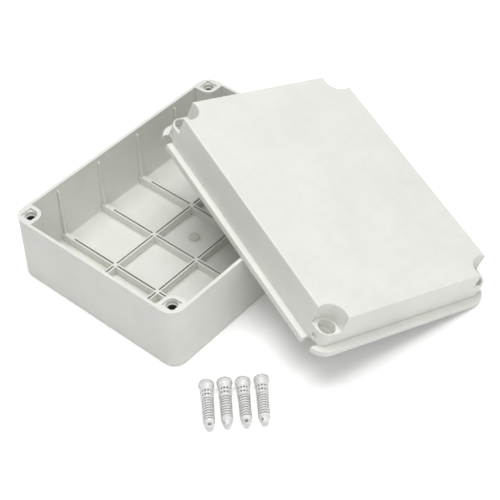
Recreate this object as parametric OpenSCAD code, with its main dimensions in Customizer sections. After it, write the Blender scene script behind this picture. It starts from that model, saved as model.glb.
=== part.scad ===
// Plastic project box: a ribbed base, a deep lid with sunk screw corners, a seal and four
// plastic lid screws. The box is shown open: the lid leans across one corner of the base,
// with one of its own corners on the table, and the screws lie side by side in front.
// Millimetres, Z up. The origin is the centre of the base's underside.

/* [Base] */
// Outside length of the base at the rim
base_l = 190; // [160:1:260]
// Outside width of the base at the rim
base_w = 140; // [120:1:180]
// Height of the base from table to rim
base_h = 50; // [40:1:70]
// Thickness of the base walls at the rim
wall = 2.2; // [1.8:0.1:2.6]
// Thickness of the base floor
floor_t = 2.5; // [2:0.1:4]
// How far each outside wall leans in from rim to table
draft = 0.6; // [0:0.1:1]
// Radius of the upright corners
corner_r = 10; // [8:0.5:12]
// Radius of the edge round the underside
foot_r = 2.5; // [1:0.5:4]

/* [Ribs in the base] */
// Distance between neighbouring ribs
rib_pitch = 37.8; // [34:0.2:42]
// Number of ribs that run from front wall to back wall
ribs_across = 4; // [2:1:4]
// Number of ribs that run from end wall to end wall
ribs_along = 2; // [1:1:2]
// Height of the floor ribs above the floor
rib_h = 6; // [4:0.5:10]
// Thickness of each of the two leaves of a floor rib
rib_leaf = 1.1; // [0.8:0.1:1.6]
// Width of the slot between the leaves
rib_slot = 1.2; // [0.8:0.1:2]
// Depth of the slot
rib_slot_d = 4; // [2:0.5:5]
// Length of the solid end of a floor rib at the wall
rib_end = 11; // [6:0.5:16]
// Thickness of the upright ribs on the walls
wall_rib_t = 1.3; // [0.8:0.1:2]
// How far an upright rib stands out from the wall at the floor
wall_rib_foot = 2.8; // [1:0.1:3.2]
// How far an upright rib stands out from the wall at its top
wall_rib_head = 1.2; // [0.4:0.1:1.6]
// Distance from the rim down to the top of the upright ribs
wall_rib_drop = 5; // [3:0.5:10]

/* [Screw posts in the base] */
// Distance from the outside faces to the centre of a screw
screw_in = 8.6; // [8:0.1:10]
// Outside radius of a screw post
post_r = 7; // [6.5:0.1:8]
// Half width of the square pocket in the top of a post
pocket_half = 4.4; // [4:0.1:4.6]
// Depth of that pocket
post_pocket = 1.4; // [0.8:0.1:2]
// Diameter of the lead-in below the pocket
post_lead_d = 7.8; // [7.4:0.1:8]
// Depth of that lead-in
post_lead_h = 2.6; // [1:0.2:5]
// Diameter of the bore that takes the screw
post_bore_d = 6.3; // [5.5:0.1:7]

/* [Lid] */
// How far the lid's skirt stands out beyond the base
lid_over = 3; // [2.5:0.1:4]
// Height of the lid from the edge of its skirt to its top
lid_h = 28.5; // [24:0.5:40]
// Thickness of the lid's top and side walls
lid_wall = 2.2; // [1.8:0.1:2.6]
// Width of the ledge along the long sides
ledge_long = 4.2; // [4:0.1:5]
// Width of the ledge along the short sides
ledge_short = 5.2; // [4:0.1:6]
// Height of the ledge above the edge of the skirt
ledge_h = 4.2; // [4.2:0.1:5.4]
// Radius of the rounded edge along the outside of the ledge
bead_r = 0.9; // [0.4:0.1:2]
// Radius of the skirt's upright corners
skirt_r = 14; // [12:0.5:16]
// Radius of the upright corners of the lid's walls
lid_corner_r = 7.2; // [6.5:0.1:8]
// Radius of the edge round the lid's top
lid_edge_r = 0.8; // [0.4:0.1:1.2]

/* [Lid corners] */
// Height of the sunk corner floor above the edge of the skirt
sunk_z = 15; // [12:0.5:18]
// Radius of the hollow arc that cuts the corner of the lid's top
sunk_r = 9.8; // [9:0.1:11]
// Distance from the skirt to the centre of that arc
sunk_in = 9.3; // [9:0.1:10.5]
// Diameter of the bore that hides a screw's head
head_bore_d = 11.2; // [11:0.1:11.6]
// Height of the seat for the screw's head above the edge of the skirt
head_seat_z = 8.5; // [8:0.25:9]
// Diameter of the hole below the seat
shank_hole_d = 8.8; // [8.6:0.1:9.2]
// Radius of the notch in the flange beside each screw
notch_r = 3.7; // [3:0.1:4]
// Distance from the skirt to the centre of the notch
notch_in = 4.4; // [3:0.1:4.6]
// Height of the notch
notch_h = 5.8; // [5:0.2:7]
// Width of the arched pocket in the wall above the notch
arch_w = 3.2; // [2:0.2:4]
// Height of that pocket
arch_h = 3.4; // [2.4:0.2:4]
// Depth of that pocket
arch_d = 0.9; // [0.4:0.1:1]
// Height of the pocket's foot above the edge of the skirt
arch_z = 7.8; // [7.4:0.2:9]

/* [Seal] */
// Depth of the groove in the lid that takes the rim and the seal
groove_d = 3.2; // [2.8:0.1:3.4]
// Thickness of the seal
seal_t = 1.2; // [0.8:0.1:1.4]
// Thickness of the lid's inner lip beside the groove
lip_t = 1.6; // [1.2:0.1:2]
// How far the inner lip ends short of the skirt's edge
lip_short = 1.5; // [1.5:0.1:1.8]
// Play between the rim and the sides of the groove
rim_play = 0.5; // [0.3:0.1:0.6]
// Play between the seal and the sides of the groove
seal_play = 0.15; // [0.05:0.05:0.2]

/* [Lid screws] */
// Overall length of a screw
screw_l = 36; // [35:0.5:42]
// Diameter of the head
head_d = 10; // [9.6:0.1:10.6]
// Height of the head down to the lower edge of its rim
head_h = 4.6; // [4:0.2:5.4]
// Height of the straight rim of the head
head_rim_h = 1.4; // [1:0.1:2]
// Length of the fins that run from the rim down to the neck
fin_l = 3.6; // [2.6:0.2:4.4]
// Thickness of a fin
fin_t = 1.5; // [1:0.1:2]
// Diameter of the neck
neck_d = 7.9; // [7.6:0.1:8.2]
// Length of the neck below the fins
neck_l = 6.2; // [5.6:0.2:7]
// Width and height of the small pockets round the neck
dimple_w = 1.2; // [0.8:0.1:1.4]
// Depth of those pockets
dimple_d = 0.6; // [0.3:0.1:0.9]
// Distance between the two rows of pockets
dimple_row = 2.9; // [2.4:0.1:3.4]
// Diameter over the thread
thread_d = 7.4; // [7:0.1:7.6]
// Depth of the thread
thread_depth = 0.5; // [0.3:0.05:0.7]
// Distance from one thread to the next
thread_pitch = 1.86; // [1.6:0.02:1.9]
// Number of threads
thread_turns = 9; // [6:1:9]
// Diameter of the plain point
point_d = 4.7; // [4.2:0.1:5]
// Diameter of the eye across the point
eye_d = 2.3; // [1.6:0.1:2.4]
// Width of the two crossed driver slots
slot_w = 1.4; // [1:0.1:2]
// Depth of the driver slots
slot_d = 2.4; // [1:0.1:3]

/* [How the open box is laid out] */
// Where the lid crosses the rim of the front wall, from the middle of the box
lean_x = -28.8; // [-40:0.2:-18]
// Where the lid crosses the rim of the right end wall, from the middle of the box
lean_y = 7.7; // [0:0.1:16]
// Turn of the lid about the line between those two places
lean_turn = 41; // [38:0.2:45]
// Gap left where the lid rests
rest_gap = 0.1; // [0.05:0.05:0.3]
// Place of the first screw's head along the box
row_x = -91; // [-110:0.5:-80]
// Distance of the first screw's head from the front wall
row_y = 20.9; // [10:0.1:40]
// Direction of the row of screws
row_turn = -43.3; // [-60:0.1:-20]
// Distance between neighbouring screws in the row
row_pitch = 11.3; // [11.2:0.1:16]

/* [Hidden] */
eps = 0.01;
through = 1;
body_fn = 96;
edge_fn = 32;
box_grey = [0.86, 0.86, 0.83];
seal_grey = [0.25, 0.25, 0.26];
screw_grey = [0.80, 0.81, 0.80];

// Quarter arc that rounds an edge: how far in and how far up, for a share from 0 to 1.
ROUND_STEPS = [0, 0.25, 0.5, 0.75, 1];
function arc_in(r, s) = r * (1 - cos(90 * s));
function arc_up(r, s) = r * sin(90 * s);

// Base
rib_top = floor_t + rib_h;
rib_w = 2 * rib_leaf + rib_slot;
gate_d = 7.4;
gate_ring_d = 10.2;
gate_h = 1.2;
gate_ring_h = 0.25;
inner_foot_r = 1.2;
foot_turn_in = 0.6;
bore_floor = floor_t + 3;
pocket_z = base_h - post_pocket;

// Lid
lid_l = base_l + 2 * lid_over;
lid_w = base_w + 2 * lid_over;
body_l = lid_l - 2 * ledge_short;
body_w = lid_w - 2 * ledge_long;
axis_in = screw_in + lid_over;
top_in = lid_h - lid_wall;
lip_h = ledge_h + lid_wall;
rim_z = groove_d - seal_t;
skirt_in = lid_over - rim_play;

// The leaning lid touches the base at two places on its rim, with the inner edge of its
// skirt, and the table with one rounded corner. Its tilt follows from those three.
line_x = base_l / 2 - lean_x;
line_y = lean_y + base_w / 2;
line_len = sqrt(line_x * line_x + line_y * line_y);
line_turn = atan2(line_y, line_x);
reach = (lid_l - skirt_in) * sin(lean_turn) + (lid_w - skirt_in) * cos(lean_turn)
      - line_len * sin(lean_turn) * cos(lean_turn)
      - skirt_r * (sin(lean_turn) + cos(lean_turn) - 1);
lean_tilt = asin(base_h / reach);
lean_along = line_len * cos(lean_turn);

// Screws
thread_root_d = thread_d - 2 * thread_depth;
neck_z = head_h + fin_l;
thread_z = neck_z + neck_l;
thread_end = thread_z + thread_turns * thread_pitch;
fins = 4;
fin_turn = 22;
fin_inset = 0.15;
rim_step = 0.6;
dimples = 12;
point_round = 0.7;
point_slope = 0.25;
point_cone = 1.9;
eye_end = 0.75;
eye_z = screw_l - eye_end - eye_d / 2;
// A lying screw touches the table with the rim of its head and with the end of its thread.
lie_tilt = atan((head_d - thread_d) / 2 / (thread_end - head_h));
lie_z = head_h * sin(lie_tilt) + head_d / 2 * cos(lie_tilt);
// How each screw lies in the row: step along the row, how far off it, turn from square, roll.
LYING = [[0, 0, -1.9, -5], [0.987, 0.46, -2.4, -105], [1.963, -0.19, -1.8, 2], [3, 0, -3.3, 42]];

// ---------------------------------------------------------------- shared shapes

// Rectangle with round corners, centred.
module round_rect(l, w, r) {
    square([l - 2 * r, w], center = true);
    square([l, w - 2 * r], center = true);
    for (sx = [-1, 1], sy = [-1, 1])
        translate([sx * (l / 2 - r), sy * (w / 2 - r)]) circle(r);
}

// The same rectangle as a slab that starts at z.
module slab(l, w, r, z, t) {
    translate([0, 0, z]) linear_extrude(t) round_rect(l, w, r);
}

// Places its children at the four screw centres, turned so that +X and +Y point outwards.
module at_screws(inset, l, w) {
    for (sx = [-1, 1], sy = [-1, 1])
        translate([sx * (l / 2 - inset), sy * (w / 2 - inset)])
            mirror([sx < 0 ? 1 : 0, 0]) mirror([0, sy < 0 ? 1 : 0]) children();
}

// Plan of a screw post: round on the inside, straight towards both walls.
module post_plan(r, out) {
    circle(r);
    translate([-r, 0]) square([r + out, out]);
    translate([0, -r]) square([out, r + out]);
}

// Plan of what the seal encloses: the box without its four screw posts.
module sealed_plan(inset, r) {
    difference() {
        square([base_l - 2 * inset, base_w - 2 * inset], center = true);
        at_screws(screw_in, base_l, base_w) post_plan(r, 2 * screw_in);
    }
}

// ---------------------------------------------------------------- base

// Outside of the base: drafted walls and a rounded edge round the underside.
module base_outside() {
    low_l = base_l - 2 * draft;
    low_w = base_w - 2 * draft;
    $fn = edge_fn;
    hull() {
        slab(base_l, base_w, corner_r, base_h - eps, eps);
        for (s = ROUND_STEPS)
            slab(low_l - 2 * arc_in(foot_r, s), low_w - 2 * arc_in(foot_r, s),
                 corner_r - draft - arc_in(foot_r, s) * foot_turn_in,
                 foot_r - arc_up(foot_r, s), eps);
    }
}

// Inside of the base, with a small fillet round the floor.
module base_inside() {
    in_l = base_l - 2 * wall;
    in_w = base_w - 2 * wall;
    lean = draft / 2;
    $fn = edge_fn;
    hull() {
        slab(in_l, in_w, corner_r - wall, base_h, through);
        for (s = ROUND_STEPS)
            slab(in_l - 2 * lean - 2 * arc_in(inner_foot_r, s),
                 in_w - 2 * lean - 2 * arc_in(inner_foot_r, s),
                 corner_r - wall - lean - arc_in(inner_foot_r, s),
                 floor_t + inner_foot_r - arc_up(inner_foot_r, s), eps);
    }
}

// Places of the ribs, counted from the middle.
function rib_at(i, n) = (i - (n - 1) / 2) * rib_pitch;

// One floor rib along X, from wall to wall.
module floor_rib(length) {
    translate([-length / 2, -rib_w / 2, floor_t - eps]) cube([length, rib_w, rib_h + eps]);
}

// Slots along X in one floor rib: broken at every crossing, stopped short of both walls.
module rib_slots(length, crossings) {
    stops = concat([-length / 2 + rib_end],
                   [for (c = crossings) each [c - rib_w / 2, c + rib_w / 2]],
                   [length / 2 - rib_end]);
    for (i = [0 : 2 : len(stops) - 2])
        translate([stops[i], -rib_slot / 2, rib_top - rib_slot_d])
            cube([stops[i + 1] - stops[i], rib_slot, rib_slot_d + through]);
}

// One upright rib on the wall at +Y, at x = 0: thin and slanted at the top.
module wall_rib(half) {
    face = half - wall - draft / 2;
    top = base_h - wall_rib_drop;
    translate([wall_rib_t / 2, 0, 0]) rotate([0, -90, 0]) linear_extrude(wall_rib_t)
        polygon([[floor_t - eps, half - wall / 2], [floor_t - eps, face - wall_rib_foot],
                 [rib_top, face - wall_rib_foot], [top, face - wall_rib_head],
                 [top + wall_rib_head, face], [top + wall_rib_head, half - wall / 2]]);
}

module base() {
    across = [for (i = [0 : ribs_across - 1]) rib_at(i, ribs_across)];
    along = [for (i = [0 : ribs_along - 1]) rib_at(i, ribs_along)];
    span_l = base_l - 2 * wall;
    span_w = base_w - 2 * wall;
    color(box_grey) difference() {
        union() {
            difference() {
                base_outside();
                base_inside();
            }
            intersection() {
                base_outside();
                union() {
                    translate([0, 0, floor_t - eps])
                        linear_extrude(base_h - floor_t + eps)
                            at_screws(screw_in, base_l, base_w)
                                post_plan(post_r, 2 * screw_in, $fn = body_fn);
                    for (y = along)
                        translate([0, y, 0]) floor_rib(span_l);
                    for (x = across)
                        translate([x, 0, 0]) rotate([0, 0, 90]) floor_rib(span_w);
                    for (x = across, side = [0, 1])
                        mirror([0, side, 0]) translate([x, 0, 0]) wall_rib(base_w / 2);
                    for (y = along, side = [-90, 90])
                        rotate([0, 0, side]) translate([y, 0, 0]) wall_rib(base_l / 2);
                }
            }
            translate([0, 0, floor_t - eps]) {
                cylinder(d = gate_d, h = gate_h + eps, $fn = body_fn);
                cylinder(d = gate_ring_d, h = gate_ring_h + eps, $fn = body_fn);
            }
        }
        for (y = along)
            translate([0, y, 0]) rib_slots(span_l, across);
        for (x = across)
            translate([x, 0, 0]) rotate([0, 0, 90]) rib_slots(span_w, along);
        // pockets, lead-ins and bores of the four posts
        at_screws(screw_in, base_l, base_w) {
            translate([0, 0, pocket_z]) linear_extrude(post_pocket + through)
                post_plan(pocket_half, pocket_half, $fn = body_fn);
            translate([0, 0, pocket_z - post_lead_h])
                cylinder(d = post_lead_d, h = post_lead_h + through, $fn = body_fn);
            translate([0, 0, bore_floor])
                cylinder(d = post_bore_d, h = base_h - bore_floor, $fn = body_fn);
        }
    }
}

// ---------------------------------------------------------------- lid, lying flat

// Half profile of a slab whose upper edge is rounded: reach r, height h, edge radius e.
module soft_profile(r, h, e) {
    square([r - e, h]);
    square([r, h - e]);
    translate([r - e, h - e]) circle(e, $fn = body_fn);
}

// Straight bar along X with both upper edges rounded.
module soft_bar(l, w, h, e) {
    translate([-l / 2, 0, 0]) rotate([90, 0, 90]) linear_extrude(l) {
        soft_profile(w / 2, h, e);
        mirror([1, 0]) soft_profile(w / 2, h, e);
    }
}

// Slab with round corners and a rounded upper edge.
module soft_slab(l, w, r, h, e) {
    soft_bar(l - 2 * r, w, h, e);
    rotate([0, 0, 90]) soft_bar(w - 2 * r, l, h, e);
    for (sx = [-1, 1], sy = [-1, 1])
        translate([sx * (l / 2 - r), sy * (w / 2 - r)])
            rotate_extrude($fn = body_fn) soft_profile(r, h, e);
}

// Skirt and ledge with the bead along the outside.
module lid_flange() {
    soft_slab(lid_l, lid_w, skirt_r, ledge_h, bead_r);
}

// Raised part of the lid before its corners are cut.
module lid_block() {
    soft_slab(body_l, body_w, lid_corner_r, lid_h, lid_edge_r);
}

// Round cutter for a sunk corner, flared at the top to round the edge of the lid.
module sunk_cutter() {
    flare = [for (s = ROUND_STEPS)
        [sunk_r + arc_in(lid_edge_r, s), lid_h - lid_edge_r + arc_up(lid_edge_r, s)]];
    rotate_extrude($fn = body_fn)
        polygon(concat([[0, sunk_z], [sunk_r, sunk_z]], flare,
                       [[sunk_r + lid_edge_r, lid_h + through], [0, lid_h + through]]));
}

// Hollow inside of the lid, clear of the screw tubes and the sunk corners.
module lid_hollow() {
    difference() {
        translate([0, 0, lip_h])
            linear_extrude(top_in - lip_h)
                round_rect(body_l - 2 * lid_wall, body_w - 2 * lid_wall,
                           lid_corner_r - lid_wall, $fn = body_fn);
        translate([0, 0, lip_h - eps]) linear_extrude(sunk_z)
            at_screws(axis_in, lid_l, lid_w)
                post_plan(post_r + rim_play, 2 * axis_in, $fn = body_fn);
        at_screws(sunk_in, lid_l, lid_w)
            translate([0, 0, sunk_z - lid_wall])
                cylinder(r = sunk_r + lid_wall, h = lid_h, $fn = body_fn);
    }
    translate([0, 0, -through]) linear_extrude(lip_h + through + eps)
        sealed_plan(wall + rim_play + lip_t, post_r + rim_play + lip_t, $fn = body_fn);
}

// Plan of the band between the rim's two faces, widened by a play on each side.
module seal_band(play) {
    difference() {
        sealed_plan(-play, post_r - wall - play, $fn = body_fn);
        sealed_plan(wall + play, post_r + play, $fn = body_fn);
    }
}

module lid_flat() {
    color(box_grey) difference() {
        union() {
            lid_flange();
            lid_block();
        }
        at_screws(sunk_in, lid_l, lid_w) sunk_cutter();
        lid_hollow();
        // groove for the rim and the seal, and relief for the rim outside the screws
        translate([0, 0, -through]) linear_extrude(groove_d + through) intersection() {
            seal_band(rim_play);
            round_rect(base_l + 2 * rim_play, base_w + 2 * rim_play,
                       corner_r + rim_play, $fn = body_fn);
        }
        translate([0, 0, -through]) linear_extrude(lip_short + through)
            round_rect(base_l + 2 * rim_play, base_w + 2 * rim_play,
                       corner_r + rim_play, $fn = body_fn);
        translate([0, 0, -through]) linear_extrude(rim_z + rim_play + through) difference() {
            round_rect(base_l + 2 * rim_play, base_w + 2 * rim_play,
                       corner_r + rim_play, $fn = body_fn);
            sealed_plan(-2 * rim_play, post_r, $fn = body_fn);
        }
        // the screw's way through each corner
        at_screws(axis_in, lid_l, lid_w) {
            translate([0, 0, -through])
                cylinder(d = shank_hole_d, h = lid_h, $fn = body_fn);
            translate([0, 0, head_seat_z])
                cylinder(d = head_bore_d, h = lid_h, $fn = body_fn);
            // notch through the flange, and the shallow arched pocket above it
            translate([0, axis_in - notch_in, -through]) {
                cylinder(r = notch_r, h = notch_h + through, $fn = body_fn);
                translate([-notch_r, 0, 0])
                    cube([2 * notch_r, notch_in + through, notch_h + through]);
            }
            translate([0, axis_in - ledge_long + through, arch_z]) rotate([90, 0, 0])
                linear_extrude(arch_d + through) {
                    translate([-arch_w / 2, 0]) square([arch_w, arch_h - arch_w / 2]);
                    translate([0, arch_h - arch_w / 2]) circle(d = arch_w, $fn = body_fn);
                }
        }
    }
}

module gasket_flat() {
    color(seal_grey) translate([0, 0, groove_d - seal_t]) linear_extrude(seal_t)
        intersection() {
            seal_band(rim_play - seal_play);
            round_rect(base_l, base_w, corner_r, $fn = body_fn);
        }
}

// Sets a lid that lies flat, centred on its skirt, into its leaning place.
module leaning() {
    translate([lean_x, -base_w / 2, base_h + rest_gap])
        rotate([0, 0, line_turn]) rotate([lean_tilt, 0, 0])
            rotate([0, 0, lean_turn - 180])
                translate([lid_l / 2 - skirt_in - lean_along, lid_w / 2 - skirt_in, 0])
                    children();
}

module lid() { leaning() lid_flat(); }
module gasket() { leaning() gasket_flat(); }

// ---------------------------------------------------------------- lid screws

// Round body of a screw: domed head, neck, thread and point.
module screw_body() {
    r_head = head_d / 2;
    r_neck = neck_d / 2;
    r_root = thread_root_d / 2;
    r_crest = thread_d / 2;
    r_point = point_d / 2;
    dome = [for (s = ROUND_STEPS)
        [r_head * sin(90 * s), (head_h - head_rim_h) * (1 - cos(90 * s))]];
    teeth = [for (i = [0 : thread_turns - 1])
        each [[r_crest, thread_z + (i + 0.15) * thread_pitch],
              [r_root, thread_z + (i + 0.4) * thread_pitch],
              [r_root, thread_z + (i + 0.6) * thread_pitch],
              [r_crest, thread_z + (i + 0.85) * thread_pitch]]];
    rotate_extrude($fn = body_fn)
        polygon(concat(dome,
                       [[r_head, head_h], [r_head - rim_step, head_h],
                        [r_neck, neck_z], [r_neck, thread_z], [r_crest, thread_z]],
                       teeth,
                       [[r_crest, thread_end], [r_point + point_slope, thread_end + point_cone],
                        [r_point, screw_l - point_round], [r_point - point_round, screw_l],
                        [0, screw_l]]));
}

// Fin between the rim of the head and the neck, standing towards +Y.
module head_fin() {
    translate([fin_t / 2, 0, 0]) rotate([0, -90, 0]) linear_extrude(fin_t)
        polygon([[head_h - eps, 0], [head_h - eps, head_d / 2 - fin_inset],
                 [head_h, head_d / 2 - fin_inset], [neck_z, neck_d / 2 - fin_inset],
                 [neck_z, 0]]);
}

// One screw, head at z = 0, point towards +Z.
module screw() {
    color(screw_grey) difference() {
        union() {
            screw_body();
            for (i = [0 : fins - 1])
                rotate([0, 0, i * 360 / fins - fin_turn]) head_fin();
        }
        // crossed driver slots
        for (turn = [0, 90])
            rotate([0, 0, turn - fin_turn])
                translate([-head_d / 2, -slot_w / 2, -through])
                    cube([head_d, slot_w, slot_d + through]);
        // two rows of small pockets round the neck
        for (i = [0 : dimples - 1], row = [-0.5, 0.5])
            rotate([0, 0, (i + 0.5) * 360 / dimples - fin_turn])
                translate([-dimple_w / 2, neck_d / 2 - dimple_d,
                           neck_z + neck_l / 2 + row * dimple_row - dimple_w / 2])
                    cube([dimple_w, dimple_d + through, dimple_w]);
        // eye across the point
        translate([0, head_d / 2, eye_z]) rotate([90, 0, 0])
            cylinder(d = eye_d, h = head_d, $fn = body_fn);
    }
}

// One screw of the row, lying on the table with its point towards the front.
module lying_screw(lie) {
    translate([row_x, -base_w / 2 - row_y, 0]) rotate([0, 0, row_turn])
        translate([lie[0] * row_pitch, lie[1], lie_z]) rotate([0, 0, lie[2]])
            rotate([90 + lie_tilt, 0, 0]) rotate([0, 0, lie[3]]) screw();
}

module lid_screw_1() { lying_screw(LYING[0]); }
module lid_screw_2() { lying_screw(LYING[1]); }
module lid_screw_3() { lying_screw(LYING[2]); }
module lid_screw_4() { lying_screw(LYING[3]); }

base();
lid();
gasket();
lid_screw_1();
lid_screw_2();
lid_screw_3();
lid_screw_4();
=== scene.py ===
# %% [markdown]
# # A plastic project box, opened
# The real object is a two-part injection moulding: a ribbed base, a lid that screws down on
# a seal, and four plastic lid screws. The base, the lid and the seal already have their true
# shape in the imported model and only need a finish: fine satin plastic and dull rubber. The
# screws are remade with a thread that climbs round the shank. A plain, bright table with soft
# light shows them all.

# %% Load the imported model
import math
import bpy
from mathutils import Matrix, Vector


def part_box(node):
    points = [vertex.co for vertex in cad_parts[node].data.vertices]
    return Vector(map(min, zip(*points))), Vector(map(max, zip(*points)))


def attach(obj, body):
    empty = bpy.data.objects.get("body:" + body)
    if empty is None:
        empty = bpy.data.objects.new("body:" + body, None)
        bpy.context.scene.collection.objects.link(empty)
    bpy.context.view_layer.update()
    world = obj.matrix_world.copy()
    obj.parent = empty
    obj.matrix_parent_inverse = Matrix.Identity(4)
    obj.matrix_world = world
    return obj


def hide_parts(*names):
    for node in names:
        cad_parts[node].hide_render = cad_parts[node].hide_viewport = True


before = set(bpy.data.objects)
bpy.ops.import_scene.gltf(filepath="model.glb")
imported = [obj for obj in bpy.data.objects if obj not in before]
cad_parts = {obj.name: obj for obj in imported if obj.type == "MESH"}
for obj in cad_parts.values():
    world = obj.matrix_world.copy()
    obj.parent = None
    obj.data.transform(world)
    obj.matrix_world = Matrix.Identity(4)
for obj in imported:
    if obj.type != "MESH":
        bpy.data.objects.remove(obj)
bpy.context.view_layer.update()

MM = 0.001
print("nodes:", sorted(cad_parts))

# %% [markdown]
# ## The camera
# A packshot like this is taken from a good distance with a long lens, so that the box keeps
# its straight edges. The camera is set by where it stands, where it looks (azimuth and
# elevation, as a turntable would give them) and a slight roll of the tripod head.

# %% Set the camera
CAMERA_AT = Vector((-0.48072, -0.46023, 0.64476))
LOOK_AZIMUTH, LOOK_ELEVATION, CAMERA_ROLL = -49.499, 44.565, -0.603
LENS_MM = 97.981


def camera_turn(azimuth, elevation, roll):
    """Rotation of a camera that looks down along an azimuth and elevation in degrees."""
    a, e, r = (math.radians(v) for v in (azimuth, elevation, roll))
    back = Vector((math.sin(a) * math.cos(e), -math.cos(a) * math.cos(e), math.sin(e)))
    right = (-back).cross(Vector((0, 0, 1))).normalized()
    up = right.cross(-back)
    rolled = right * math.cos(r) + up * math.sin(r)
    raised = up * math.cos(r) - right * math.sin(r)
    return Matrix((rolled, raised, back)).transposed()


lens = bpy.data.cameras.new("camera")
lens.lens, lens.sensor_width = LENS_MM, 36
lens.clip_start, lens.clip_end = 0.05, 20
camera = bpy.data.objects.new("camera", lens)
camera.matrix_world = (Matrix.Translation(CAMERA_AT)
                       @ camera_turn(LOOK_AZIMUTH, LOOK_ELEVATION, CAMERA_ROLL).to_4x4())
bpy.context.scene.collection.objects.link(camera)
bpy.context.scene.camera = camera
bpy.context.scene.view_settings.view_transform = "Standard"
print("camera", [round(v, 3) for v in CAMERA_AT], "lens", LENS_MM, "mm")

# %% [markdown]
# ## Writing shaders as sums
# A shader is mostly arithmetic on masks. The class below wraps one output socket, so that
# `0.4 + 0.1 * grain` adds the Math nodes by itself. `add` makes any other node: its settings
# first, because some sockets appear only after them, and then what goes into its sockets.

# %% A value in a node tree
class Value:
    """An output socket that can be added, subtracted, multiplied and raised to a power."""

    def __init__(self, shader, socket):
        self.shader, self.socket = shader, socket

    def _math(self, operation, first, second):
        return self.shader.add("ShaderNodeMath", {"operation": operation}, {0: first, 1: second})

    def __add__(self, other): return self._math("ADD", self, other)
    def __radd__(self, other): return self._math("ADD", other, self)
    def __sub__(self, other): return self._math("SUBTRACT", self, other)
    def __rsub__(self, other): return self._math("SUBTRACT", other, self)
    def __mul__(self, other): return self._math("MULTIPLY", self, other)
    def __rmul__(self, other): return self._math("MULTIPLY", other, self)
    def __pow__(self, other): return self._math("POWER", self, other)


class Shader:
    """A node tree that is filled by calls to add."""

    def __init__(self, tree):
        self.tree = tree
        tree.nodes.clear()

    def add(self, kind, settings=None, sockets=None, out=0):
        node = self.tree.nodes.new(kind)
        for name, value in (settings or {}).items():
            if name == "stops":
                ramp = node.color_ramp
                for stop, (at, colour) in zip(ramp.elements, value):
                    stop.position, stop.color = at, colour
            else:
                setattr(node, name, value)
        for name, value in (sockets or {}).items():
            if isinstance(value, Value):
                self.tree.links.new(value.socket, node.inputs[name])
            else:
                node.inputs[name].default_value = value
        return Value(self, node.outputs[out])

    def output(self, surface, kind="ShaderNodeOutputMaterial"):
        node = self.tree.nodes.new(kind)
        self.tree.links.new(surface.socket, node.inputs["Surface"])


def new_material(name):
    """An empty node material and the shader that fills it."""
    material = bpy.data.materials.new(name)
    material.use_nodes = True
    return material, Shader(material.node_tree)


print("shader helpers ready")

# %% [markdown]
# ## The box plastic
# The box is moulded in light grey ABS in a spark-eroded tool. That leaves a very fine,
# even grain that breaks up reflections, and wide, faint waves where the plastic shrank over
# its ribs. Colour barely changes. One noise gives the grain and a slow one gives the waves.
# A Bevel node turns the surface's direction near every edge, as the tool's small radii do on
# the real part. Where it differs from the true direction there is an edge: the outer edges are
# painted a little lighter, a painted highlight, and the inner corners, which Ambient Occlusion
# finds, are painted a little darker, a painted shade. Two places of the base get a mask of their
# own from their position: the rough scar where the plastic ran in, and the screw bores. The
# bores are a painted shade: a pale hole this deep still rendered lighter than the real one
# looks, so its wall is written dark.

# %% Box plastic
GREY_COOL = (0.758, 0.766, 0.722, 1)
GREY_WARM = (0.812, 0.818, 0.770, 1)
# Painted highlight: the lighter colour that the outer edges are mixed towards.
PAINTED_EDGE_HIGHLIGHT = (0.93, 0.935, 0.90, 1)
# Painted shade: the darker colour that the inner corners are mixed towards.
PAINTED_CORNER_SHADE = (0.56, 0.565, 0.52, 1)
SCAR_DULL = (0.60, 0.60, 0.54, 1)
BORE_DARK = (0.10, 0.10, 0.09, 1)
EDGE_ROUND = 0.8 * MM
EDGE_HIGHLIGHT_REACH = 1.7 * MM
GRAIN_SIZE, GRAIN_DEEP = 0.35 * MM, 0.02 * MM
MOTTLE_SIZE = 6 * MM
WAVE_SIZE, WAVE_DEEP = 30 * MM, 0.06 * MM
CORNER_REACH = 2.5 * MM
SCAR_R, SCAR_FROM, SCAR_TO = 3.8, 2.6, 5
BORE_X, BORE_Y, BORE_R, BORE_FROM, BORE_TOP = 86.4, 61.4, 3.4, 2, 45.6


def near(s, place, at, radius, low, high):
    """Mask, 1 inside an upright drum: centre, radius, lowest and highest point in mm."""
    x, y, z = (s.add("ShaderNodeSeparateXYZ", {}, {0: place}, out=i) for i in range(3))
    away = ((x - at[0] * MM) ** 2.0 + (y - at[1] * MM) ** 2.0) ** 0.5

    def under(value, limit):
        return s.add("ShaderNodeMath", {"operation": "LESS_THAN"}, {0: value, 1: limit * MM})

    return under(away, radius) * under(z, high) * (1 - under(z, low))


def tint(s, mask, colour, other):
    """Mix a colour socket towards a fixed colour by a mask."""
    return s.add("ShaderNodeMix", {"data_type": "RGBA"}, {0: mask, 6: colour, 7: other}, out=2)


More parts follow.
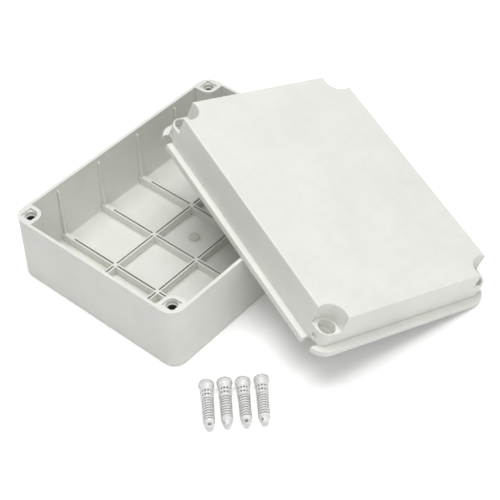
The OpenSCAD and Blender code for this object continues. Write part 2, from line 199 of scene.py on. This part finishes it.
def box_plastic(name, scar=False):
    material, s = new_material(name)
    place = s.add("ShaderNodeTexCoord", out="Object")
    waves = s.add("ShaderNodeTexNoise", {"noise_dimensions": "3D"},
                  {"Vector": place, "Scale": 1 / WAVE_SIZE, "Detail": 2.0, "Roughness": 0.45})
    grain = s.add("ShaderNodeTexNoise", {"noise_dimensions": "3D"},
                  {"Vector": place, "Scale": 1 / GRAIN_SIZE, "Detail": 2.0, "Roughness": 0.6})
    mottle = s.add("ShaderNodeTexNoise", {"noise_dimensions": "3D"},
                   {"Vector": place, "Scale": 1 / MOTTLE_SIZE, "Detail": 4.0, "Roughness": 0.6})
    tone = waves * 0.6 + mottle * 0.4
    colour = s.add("ShaderNodeValToRGB",
                   {"stops": [(0.35, GREY_COOL), (0.65, GREY_WARM)]}, {0: tone}, out="Color")
    rough = 0.36 + 0.10 * mottle + 0.05 * grain
    soft_edge = s.add("ShaderNodeBevel", {"samples": 6}, {"Radius": EDGE_ROUND})
    straight = s.add("ShaderNodeNewGeometry", out="Normal")
    wide_edge = s.add("ShaderNodeBevel", {"samples": 6}, {"Radius": EDGE_HIGHLIGHT_REACH})
    edge = 1 - s.add("ShaderNodeVectorMath", {"operation": "DOT_PRODUCT"},
                     {0: wide_edge, 1: straight}, out="Value")
    open_air = s.add("ShaderNodeAmbientOcclusion", {"samples": 6, "only_local": True},
                     {"Distance": CORNER_REACH}, out="AO")
    outer = s.add("ShaderNodeMapRange", {"interpolation_type": "SMOOTHSTEP"},
                  {0: open_air, 1: 0.75, 2: 0.97})
    # Painted highlight: the open outer edges are mixed towards a lighter colour.
    painted_edge_highlight = s.add("ShaderNodeMapRange", {}, {0: edge * outer, 1: 0.01, 2: 0.16, 3: 0.0, 4: 0.85})
    # Painted shade: the inner corners that Ambient Occlusion finds are mixed towards a darker
    # colour.
    painted_corner_shade = s.add("ShaderNodeMapRange", {}, {0: open_air, 1: 0.75, 2: 0.25, 3: 0.0, 4: 0.7})
    colour = tint(s, painted_corner_shade, tint(s, painted_edge_highlight, colour, PAINTED_EDGE_HIGHLIGHT), PAINTED_CORNER_SHADE)
    if scar:
        colour = tint(s, near(s, place, (0, 0), SCAR_R, SCAR_FROM, SCAR_TO), colour, SCAR_DULL)
        for x in (-BORE_X, BORE_X):
            for y in (-BORE_Y, BORE_Y):
                bore = near(s, place, (x, y), BORE_R, BORE_FROM, BORE_TOP)
                colour = tint(s, bore, colour, BORE_DARK)
    relief = s.add("ShaderNodeBump", {}, {"Strength": 0.25, "Distance": GRAIN_DEEP,
                                          "Height": grain, "Normal": soft_edge})
    relief = s.add("ShaderNodeBump", {}, {"Strength": 0.35, "Distance": WAVE_DEEP,
                                          "Height": waves, "Normal": relief})
    s.output(s.add("ShaderNodeBsdfPrincipled", {}, {
        "Base Color": colour, "Roughness": rough, "Normal": relief, "IOR": 1.46}))
    return material


lid_grey = box_plastic("lid_grey")
base_grey = box_plastic("base_grey", scar=True)
print("made", lid_grey.name, base_grey.name)

# %% [markdown]
# ## The seal and the screws
# The seal is a dull foamed rubber. The screws are natural nylon: pale and a little milky,
# glossier than the box. A small share of transmission gives the milkiness; a larger share was
# tried and blurred the thread. Ambient Occlusion finds the hollows, and there the colour is
# painted grey: a painted shade.

# %% Seal rubber and screw nylon
PORE_SIZE, PORE_DEEP = 0.6 * MM, 0.1 * MM
FLOW_SIZE, FLOW_DEEP = 3 * MM, 0.05 * MM
HOLLOW_REACH = 1.1 * MM
# Painted shade: the grey that the screws' hollows are mixed towards.
PAINTED_HOLLOW_SHADE = (0.20, 0.20, 0.19, 1)


def seal_rubber(name):
    material, s = new_material(name)
    place = s.add("ShaderNodeTexCoord", out="Object")
    pores = s.add("ShaderNodeTexNoise", {},
                  {"Vector": place, "Scale": 1 / PORE_SIZE, "Detail": 3.0})
    colour = s.add("ShaderNodeValToRGB", {"stops": [
        (0.3, (0.030, 0.030, 0.032, 1)), (0.7, (0.065, 0.065, 0.068, 1))]},
        {0: pores}, out="Color")
    relief = s.add("ShaderNodeBump", {},
                   {"Strength": 0.5, "Distance": PORE_DEEP, "Height": pores})
    s.output(s.add("ShaderNodeBsdfPrincipled", {}, {
        "Base Color": colour, "Roughness": 0.75 + 0.2 * pores, "Normal": relief}))
    return material


def screw_nylon(name):
    material, s = new_material(name)
    place = s.add("ShaderNodeTexCoord", out="Object")
    flow = s.add("ShaderNodeTexNoise", {},
                 {"Vector": place, "Scale": 1 / FLOW_SIZE, "Detail": 3.0})
    open_air = s.add("ShaderNodeAmbientOcclusion", {"samples": 8, "only_local": True},
                     {"Distance": HOLLOW_REACH}, out="AO")
    # Painted shade: the hollows that Ambient Occlusion finds are mixed towards grey.
    hollow = s.add("ShaderNodeMapRange", {}, {0: open_air, 1: 0.9, 2: 0.3, 3: 0.0, 4: 1.0})
    colour = s.add("ShaderNodeValToRGB", {"stops": [
        (0.3, (0.80, 0.805, 0.79, 1)), (0.7, (0.90, 0.905, 0.88, 1))]}, {0: flow}, out="Color")
    colour = tint(s, hollow, colour, PAINTED_HOLLOW_SHADE)
    relief = s.add("ShaderNodeBump", {},
                   {"Strength": 0.2, "Distance": FLOW_DEEP, "Height": flow})
    s.output(s.add("ShaderNodeBsdfPrincipled", {}, {
        "Base Color": colour, "Roughness": 0.22 + 0.12 * flow, "Normal": relief, "IOR": 1.53,
        "Transmission Weight": 0.12}))
    return material


seal_black = seal_rubber("seal_black")
nylon = screw_nylon("nylon")
print("made", seal_black.name, nylon.name)

# %% [markdown]
# ## Dressing the modelled pieces
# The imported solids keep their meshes; only their material slots change. The four screws are
# remade below, because a real thread climbs round the shank.

# %% Give each solid its finish
FINISH = {"base": base_grey, "lid": lid_grey, "gasket": seal_black}


def dress(node, material):
    """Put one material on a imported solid."""
    solid = bpy.data.objects[node]
    solid.data.materials.clear()
    solid.data.materials.append(material)


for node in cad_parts:
    dress(node, FINISH.get(node, nylon))
    print(node, "->", FINISH.get(node, nylon).name)

# %% [markdown]
# ## The shape of a lid screw
# A lid screw is one nylon moulding: a dome with crossed slots, a line that marks off its rim,
# four fins below it, a neck with two rows of small pockets, a coarse rounded thread, and a
# point with an eye.
# A lathe-like form is easiest to think of as a radius for every height and every direction,
# so one function gives that radius and one loop turns it into a grid of faces. The thread,
# the fins and the pockets are all dents or swellings of that radius. Only the slots and the
# eye go right through, so they are cut afterwards.

# %% Sizes of a screw, in millimetres
SCREW_L, HEAD_D, HEAD_H, RIM_H, RIM_LINE = 36.0, 10.0, 4.6, 1.4, 0.3
FIN_L, FIN_T, FINS, FIN_TURN, FIN_ROOT = 3.6, 1.5, 4, 22.0, 0.6
NECK_D, NECK_L = 7.9, 6.2
POCKET_W, POCKET_D, POCKET_ROW, POCKETS = 1.2, 1.1, 2.9, 12
THREAD_D, THREAD_DEPTH, THREAD_PITCH, THREAD_TURNS = 7.4, 0.75, 1.86, 9
POINT_D, POINT_SLOPE, POINT_CONE, POINT_ROUND = 4.7, 0.25, 1.9, 0.7
EYE_D, EYE_END, SLOT_W, SLOT_D = 2.3, 0.75, 1.4, 2.4
NECK_Z = HEAD_H + FIN_L
THREAD_Z = NECK_Z + NECK_L
THREAD_END = THREAD_Z + THREAD_TURNS * THREAD_PITCH
print("neck from", NECK_Z, "thread from", THREAD_Z, "to", round(THREAD_END, 2))

# %% The radius of a screw at a height and a direction


def step(low, high, value):
    """Smooth step from 0 at low to 1 at high."""
    t = min(1.0, max(0.0, (value - low) / (high - low)))
    return t * t * (3 - 2 * t)


def ramp(points, at):
    """Value on a line through (place, value) points."""
    for (a, u), (b, v) in zip(points, points[1:]):
        if at <= b:
            return u + (v - u) * max(0.0, at - a) / (b - a)
    return points[-1][1]


def plain_radius(z):
    """Radius of the turned body without fins, pockets or thread."""
    dome_h, r_head, r_neck = HEAD_H - RIM_H, HEAD_D / 2, NECK_D / 2
    if z <= dome_h:
        return r_head * math.sin(math.acos(1 - z / dome_h))
    edge = 0.3
    return ramp([(dome_h, r_head), (dome_h + 0.12, r_head - RIM_LINE),
                 (dome_h + 0.28, r_head - RIM_LINE), (dome_h + 0.4, r_head),
                 (HEAD_H - edge, r_head),
                 (HEAD_H - edge / 3, r_head - edge / 3), (HEAD_H, r_head - edge),
                 (HEAD_H + 0.1, r_head - FIN_ROOT), (NECK_Z, r_neck), (THREAD_Z - edge, r_neck),
                 (THREAD_Z, THREAD_D / 2), (THREAD_END, THREAD_D / 2),
                 (THREAD_END + POINT_CONE, POINT_D / 2 + POINT_SLOPE),
                 (SCREW_L - POINT_ROUND, POINT_D / 2),
                 (SCREW_L - POINT_ROUND / 3, POINT_D / 2 - POINT_ROUND / 3),
                 (SCREW_L, POINT_D / 2 - POINT_ROUND)], z)


def turn_gap(turn, count, first):
    """Angle in degrees from a direction to the nearest of some even divisions."""
    share = (turn - first) * count / 360
    return abs(share - round(share)) * 360 / count


def screw_radius(z, turn):
    """Radius with fins, pockets and thread; turn in degrees from +Y towards +X."""
    r = plain_radius(z)
    if HEAD_H < z < NECK_Z:
        line = HEAD_D / 2 + (NECK_D - HEAD_D) / 2 * (z - HEAD_H) / FIN_L
        side = math.radians(turn_gap(turn, FINS, FIN_TURN)) * r
        r += (max(line - 0.1, r) - r) * (1 - step(FIN_T / 2 - 0.15, FIN_T / 2 + 0.2, side))
    if NECK_Z < z < THREAD_Z:
        middle = NECK_Z + NECK_L / 2
        across = math.radians(turn_gap(turn, POCKETS, FIN_TURN + 180 / POCKETS)) * r
        along = min(abs(z - middle - POCKET_ROW / 2), abs(z - middle + POCKET_ROW / 2))
        hollow = 1 - step(POCKET_W / 2 - 0.2, POCKET_W / 2 + 0.12, max(across, along))
        r -= POCKET_D * hollow
    if THREAD_Z < z < THREAD_END:
        climb = ((z - THREAD_Z) / THREAD_PITCH + turn / 360) % 1
        groove = step(0.2, 0.48, climb) * (1 - step(0.52, 0.8, climb))
        fade = step(0, 0.6 * THREAD_PITCH, z - THREAD_Z) * step(
            0, 0.6 * THREAD_PITCH, THREAD_END - z)
        r -= THREAD_DEPTH * groove * fade
    return r


print("radius at the rim, in a pocket and on the thread:",
      [round(screw_radius(*at), 2) for at in ((HEAD_H - 1, 0), (9.85, 37), (20, 0), (20, 180))])

# %% [markdown]
# ## From radius to mesh
# The grid has one ring of points for each height. Rings crowd together where the shape
# changes quickly: round the dome, over the pockets and along the thread. The crossed slots
# and the eye are three simple cutters, taken away with the exact Boolean solver, and edges
# sharper than 40 degrees are marked sharp so that the rest can shade smoothly.

# %% The screw as one mesh
import bmesh

AROUND = 120
SLIVER = 0.002 * MM


def ring_heights():
    """Heights of the rings from the top of the dome to the end of the point."""
    dome_h = HEAD_H - RIM_H
    heights = [dome_h * (1 - math.cos(math.radians(a))) for a in range(7, 90, 7)]
    heights += [dome_h, dome_h + 0.12, dome_h + 0.28]
    for low, high, pitch in ((dome_h + 0.4, HEAD_H - 0.3, 0.3), (HEAD_H - 0.3, NECK_Z, 0.15),
                             (NECK_Z, THREAD_Z, 0.12), (THREAD_Z, THREAD_END, 0.13),
                             (THREAD_END, SCREW_L - 0.7, 0.3), (SCREW_L - 0.7, SCREW_L, 0.12)):
        count = math.ceil((high - low) / pitch)
        heights += [low + (high - low) * i / count for i in range(count)]
    return heights + [SCREW_L]


def turned_screw(name):
    """Closed mesh of a screw without slots and eye: head at z = 0, point towards +Z."""
    bm = bmesh.new()
    rings = []
    for z in ring_heights():
        ring = []
        for i in range(AROUND):
            turn = i * 360 / AROUND
            r = screw_radius(z, turn)
            ring.append(bm.verts.new((r * math.sin(math.radians(turn)) * MM,
                                      r * math.cos(math.radians(turn)) * MM, z * MM)))
        rings.append(ring)
    for low, high in zip(rings, rings[1:]):
        for i in range(AROUND):
            j = (i + 1) % AROUND
            bm.faces.new((low[i], high[i], high[j], low[j]))
    for ring, z in ((rings[0], 0.0), (rings[-1], SCREW_L)):
        tip = bm.verts.new((0, 0, z * MM))
        for i in range(AROUND):
            bm.faces.new((ring[i], ring[(i + 1) % AROUND], tip))
    bmesh.ops.recalc_face_normals(bm, faces=bm.faces)
    mesh = bpy.data.meshes.new(name)
    bm.to_mesh(mesh)
    bm.free()
    return mesh


def cutter(build):
    """Temporary object that holds one cutting shape."""
    bm = bmesh.new()
    build(bm)
    mesh = bpy.data.meshes.new("cutter")
    bm.to_mesh(mesh)
    bm.free()
    shape = bpy.data.objects.new("cutter", mesh)
    bpy.context.scene.collection.objects.link(shape)
    return shape


def slot_cutter(turn):
    """Bar across the dome; turn in degrees from +Y towards +X."""
    place = (Matrix.Rotation(math.radians(-turn), 4, "Z")
             @ Matrix.Translation((0, 0, (SLOT_D - 3) / 2 * MM))
             @ Matrix.Diagonal((SLOT_W * MM, 1.2 * HEAD_D * MM, (SLOT_D + 3) * MM, 1)))
    return cutter(lambda bm: bmesh.ops.create_cube(bm, size=1, matrix=place))


def eye_cutter():
    """Round bar across the point, along Y."""
    place = (Matrix.Translation((0, 0, (SCREW_L - EYE_END - EYE_D / 2) * MM))
             @ Matrix.Rotation(math.radians(90), 4, "X"))
    return cutter(lambda bm: bmesh.ops.create_cone(
        bm, cap_ends=True, segments=48, radius1=EYE_D / 2 * MM, radius2=EYE_D / 2 * MM,
        depth=HEAD_D * MM, matrix=place))


def cut(piece, shapes):
    """Take each shape away from a piece and delete the shape."""
    for shape in shapes:
        modifier = piece.modifiers.new("cut", "BOOLEAN")
        modifier.operation, modifier.solver, modifier.object = "DIFFERENCE", "EXACT", shape
        with bpy.context.temp_override(object=piece, active_object=piece):
            bpy.ops.object.modifier_apply(modifier=modifier.name)
        bpy.data.objects.remove(shape)


def drop_slivers(mesh):
    """Merge the hair-thin triangles that a Boolean leaves along its cuts."""
    bm = bmesh.new()
    bm.from_mesh(mesh)
    bmesh.ops.dissolve_degenerate(bm, dist=SLIVER, edges=bm.edges)
    bmesh.ops.triangulate(bm, faces=[face for face in bm.faces if len(face.verts) > 4])
    print("edges left open:", sum(not edge.is_manifold for edge in bm.edges))
    bm.to_mesh(mesh)
    bm.free()


pattern = bpy.data.objects.new("screw_pattern", turned_screw("screw_pattern"))
bpy.context.scene.collection.objects.link(pattern)
cut(pattern, [slot_cutter(FIN_TURN), slot_cutter(FIN_TURN + 90), eye_cutter()])
screw_mesh = pattern.data
drop_slivers(screw_mesh)
bpy.data.objects.remove(pattern)
screw_mesh.shade_smooth()
screw_mesh.set_sharp_from_angle(angle=math.radians(40))
print("screw mesh:", len(screw_mesh.polygons), "faces")

# %% [markdown]
# ## Laying the screws in their row
# Each screw lies on the rim of its head and the end of its thread, so it dips by a few
# degrees towards its point. The row is laid by hand, so every screw has its own small step,
# turn and roll. The imported solid of the same screw gives a check: the script prints how far
# their boxes differ.

# %% Place the four screws
ROW_AT, ROW_TURN, ROW_PITCH = (-91.0, -90.9), -43.3, 11.3
LYING = ((0, 0, -1.9, -5), (0.987, 0.46, -2.4, -105), (1.963, -0.19, -1.8, 2), (3, 0, -3.3, 42))
DIP = math.degrees(math.atan((HEAD_D - THREAD_D) / 2 / (THREAD_END - HEAD_H)))
AXIS_Z = HEAD_H * math.sin(math.radians(DIP)) + HEAD_D / 2 * math.cos(math.radians(DIP))


def spin(degrees, axis):
    return Matrix.Rotation(math.radians(degrees), 4, axis)


def lying_screw(index, along, off, turn, roll):
    """One screw in the row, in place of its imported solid."""
    node = f"lid_screw_{index}"
    mesh = screw_mesh.copy()
    mesh.transform(Matrix.Translation((ROW_AT[0] * MM, ROW_AT[1] * MM, 0)) @ spin(ROW_TURN, "Z")
                   @ Matrix.Translation((along * ROW_PITCH * MM, off * MM, AXIS_Z * MM))
                   @ spin(turn, "Z") @ spin(90 + DIP, "X") @ spin(roll, "Z"))
    mesh.materials.clear()
    mesh.materials.append(nylon)
    piece = bpy.data.objects.new(f"screw_{index}", mesh)
    bpy.context.scene.collection.objects.link(piece)
    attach(piece, "root")
    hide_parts(node)
    low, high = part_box(node)
    off_by = max(abs(min(v.co[i] for v in mesh.vertices) - low[i]) for i in range(3))
    off_by = max(off_by, *(abs(max(v.co[i] for v in mesh.vertices) - high[i]) for i in range(3)))
    print(piece.name, "differs from the packed solid's box by", round(off_by / MM, 2), "mm")
    return piece


screws = [lying_screw(index + 1, *lie) for index, lie in enumerate(LYING)]

# %% [markdown]
# ## Table and light
# A white sweep under soft studio light. The table itself is the fill light: it lifts every
# wall that leans over it. The camera sees the table's own shading turned up, as an exposure
# that burns white paper out does, so that the paper is white while the soft shadows under the
# box stay. The extra brightness is added only for what looks at the table and never lights
# the box. Far from the box the table blends into a plain white glow, so there the camera sees a
# plain white sweep.

# %% Table
TABLE_WHITE = 0.93
TABLE_EXTRA = 0.42
SWEEP_FROM, SWEEP_TO = 0.6, 1.6
bpy.ops.mesh.primitive_plane_add(size=6, location=(0, 0, 0))
table = bpy.context.object
table.name = "table"
paper, s = new_material("table_paper")
looked_at = (s.add("ShaderNodeLightPath", out="Is Camera Ray")
             + s.add("ShaderNodeLightPath", out="Is Glossy Ray")
             + s.add("ShaderNodeLightPath", out="Is Transmission Ray"))
white = s.add("ShaderNodeBsdfDiffuse", {}, {"Color": (TABLE_WHITE, TABLE_WHITE, TABLE_WHITE, 1)})
extra = s.add("ShaderNodeBsdfDiffuse", {}, {"Color": (TABLE_EXTRA, TABLE_EXTRA, TABLE_EXTRA, 1)})
near_box = s.add("ShaderNodeMixShader", {}, {
    0: looked_at, 1: white, 2: s.add("ShaderNodeAddShader", {}, {0: white, 1: extra})})
away = s.add("ShaderNodeVectorMath", {"operation": "LENGTH"},
             {0: s.add("ShaderNodeNewGeometry", out="Position")}, out="Value")
far = s.add("ShaderNodeMapRange", {"interpolation_type": "SMOOTHSTEP"},
            {0: away, 1: SWEEP_FROM, 2: SWEEP_TO})
sweep = s.add("ShaderNodeEmission", {}, {"Color": (1, 1, 1, 1), "Strength": 1.0})
s.output(s.add("ShaderNodeMixShader", {}, {0: far * looked_at, 1: near_box, 2: sweep}))
table.data.materials.append(paper)
print("table", TABLE_WHITE, "and", TABLE_EXTRA, "more for the camera")

# %% [markdown]
# The room is dim and even. Above the box hangs one wide softbox. A second, much weaker one
# stands off the box's near left corner and a third, weaker still, low in front: they keep the
# two near walls of the base from going dark. All of them are large, so that no shadow has a
# hard edge.

# %% Room and softboxes
ROOM_LEVEL = 0.215
world = bpy.data.worlds.new("room")
world.use_nodes = True
bpy.context.scene.world = world
s = Shader(world.node_tree)
seen = (s.add("ShaderNodeLightPath", out="Is Camera Ray")
        + s.add("ShaderNodeLightPath", out="Is Glossy Ray")
        + s.add("ShaderNodeLightPath", out="Is Transmission Ray"))
s.output(s.add("ShaderNodeMixShader", {}, {
    0: seen,
    1: s.add("ShaderNodeBackground", {}, {"Color": (1, 1, 1, 1), "Strength": ROOM_LEVEL}),
    2: s.add("ShaderNodeBackground", {}, {"Color": (1, 1, 1, 1), "Strength": 1.0})}),
    kind="ShaderNodeOutputWorld")

SOFTBOXES = {"above": (0.77, (0, 0, 1.35)), "corner": (0.20, (-0.75, -0.75, 0.9)),
             "front": (0.145, (0.1, -1.2, 0.45))}
SOFTBOX_SIDE = 1.1


def softbox(name, level, at):
    """Square softbox that faces the box; level 1 lights a white wall facing it as white."""
    at = Vector(at)
    light = bpy.data.lights.new(name, "AREA")
    light.shape, light.size = "SQUARE", SOFTBOX_SIDE
    light.energy = level * math.pi ** 2 * at.length ** 2
    holder = bpy.data.objects.new(name, light)
    holder.location = at
    holder.rotation_euler = at.to_track_quat("Z", "Y").to_euler()
    holder.visible_camera = False
    bpy.context.scene.collection.objects.link(holder)
    print("softbox", name, round(light.energy, 1), "W")
    return holder


lamps = [softbox(name, *where) for name, where in SOFTBOXES.items()]
